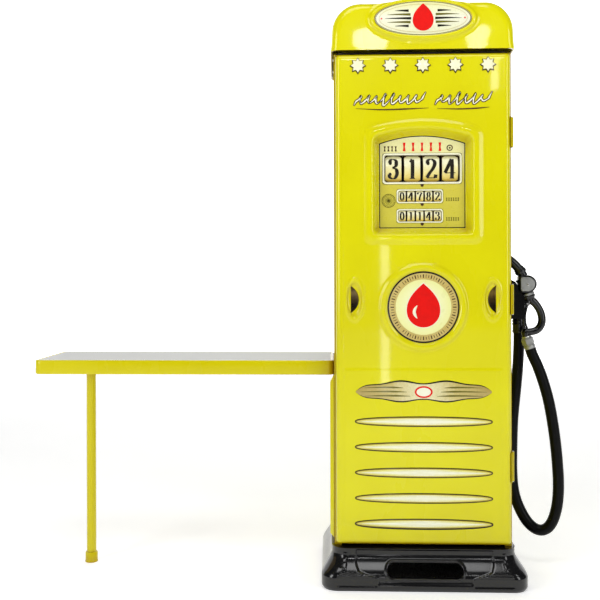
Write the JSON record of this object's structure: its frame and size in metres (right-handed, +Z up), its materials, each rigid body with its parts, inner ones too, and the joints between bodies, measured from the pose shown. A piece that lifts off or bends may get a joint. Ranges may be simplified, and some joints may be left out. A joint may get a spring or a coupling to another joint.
{
  "type": "vintage gas pump with side table",
  "caption": "Tall cabinet pump with domed head, hinged front door with arched counter dial, hung nozzle and hose on one side, and a narrow table on a single leg on the other.",
  "frame": {"origin": "on the floor, at the middle of the cabinet's width and depth, on the underside of the base pan", "axes": "+Z up, +X towards the nozzle side, +Y from the door towards the rear panel; the door faces -Y"},
  "size_m": [1.8775, 0.514, 1.976],
  "materials": {
    "yellow_gelcoat": "gloss moulded gelcoat",
    "yellow_enamel": "gloss enamel",
    "black_gelcoat": "gloss moulded gelcoat",
    "plated_steel": "zinc plated",
    "screw_steel": "satin",
    "seal_rubber": "matte",
    "cream_print": "printed face under clear varnish",
    "board": "sealed board",
    "grey_laminate": "satin laminate",
    "black_moulding": "gloss moulding",
    "black_enamel": "gloss enamel",
    "grey_metal": "satin casting",
    "hose_rubber": "smooth satin rubber"
  },
  "bodies": {
    "pump": {"base_plinth": "black_gelcoat", "base_pan": "plated_steel", "side_panel_left": "yellow_gelcoat", "side_panel_right": "yellow_gelcoat", "rear_panel": "yellow_gelcoat", "rear_screws": "screw_steel", "table_support_panel": "yellow_gelcoat", "head_cap": "yellow_gelcoat", "head_gasket": "seal_rubber", "head_brackets": "plated_steel", "badge_plate": "cream_print", "shelf_lower": "board", "shelf_middle": "board", "shelf_upper": "board", "shelf_pegs": "screw_steel", "hinge_frame_leaves": "yellow_enamel", "hinge_pins": "plated_steel", "catch_magnet": "screw_steel", "nozzle_boot": "black_moulding", "boot_screws": "screw_steel", "spout_port": "black_moulding", "hose_outlet": "black_moulding", "outlet_nut": "plated_steel", "outlet_ferrule": "black_enamel", "hose": "hose_rubber", "table_frame": "yellow_enamel", "table_core": "board", "table_top": "grey_laminate", "table_studs": "screw_steel", "table_leg": "yellow_enamel", "leg_foot": "yellow_enamel", "leg_screws": "screw_steel"},
    "door": {"door_panel": "yellow_gelcoat", "door_liner": "yellow_gelcoat", "door_seal": "seal_rubber", "dial_surround": "yellow_gelcoat", "dial_plate": "cream_print", "counter_housing": "black_moulding", "cost_drums": "cream_print", "litre_drums": "cream_print", "gallon_drums": "cream_print", "emblem_plate": "cream_print", "louver_trims": "cream_print", "star_studs": "cream_print", "script_upper": "cream_print", "script_lower": "cream_print", "finger_cups": "black_moulding", "hinge_door_leaves": "yellow_enamel", "catch_strike": "plated_steel"},
    "nozzle": {"nozzle_body": "black_enamel", "spout": "black_enamel", "spout_collar": "black_enamel", "nozzle_cap": "grey_metal", "trigger_guard": "black_enamel", "trigger_pin": "screw_steel", "swivel_ring": "plated_steel"},
    "trigger": {"trigger": "black_enamel"},
    "swivel": {"hose_swivel": "grey_metal"}
  },
  "joints": [
    {"name": "door_hinge", "type": "hinge", "parent": "pump", "child": "door", "pos_m": [0.303, -0.209, 0.965], "axis": [0, 0, 1], "range_deg": [0, 105]},
    {"name": "nozzle_pull", "type": "slide", "parent": "pump", "child": "nozzle", "axis": [1, 0, 0], "range_m": [0, 0.12], "deforming": ["hose"]},
    {"name": "trigger_squeeze", "type": "hinge", "parent": "nozzle", "child": "trigger", "pos_m": [0.391, -0.03, 0.944], "axis": [0, -1, 0], "range_deg": [0, 18], "stiffness_Nm_per_rad": 1.5, "springref_deg": -17.19},
    {"name": "swivel_turn", "type": "hinge", "parent": "nozzle", "child": "swivel", "pos_m": [0.3895, -0.03, 0.8235], "axis": [0.3162, 0, -0.9487], "continuous": true}
  ]
}
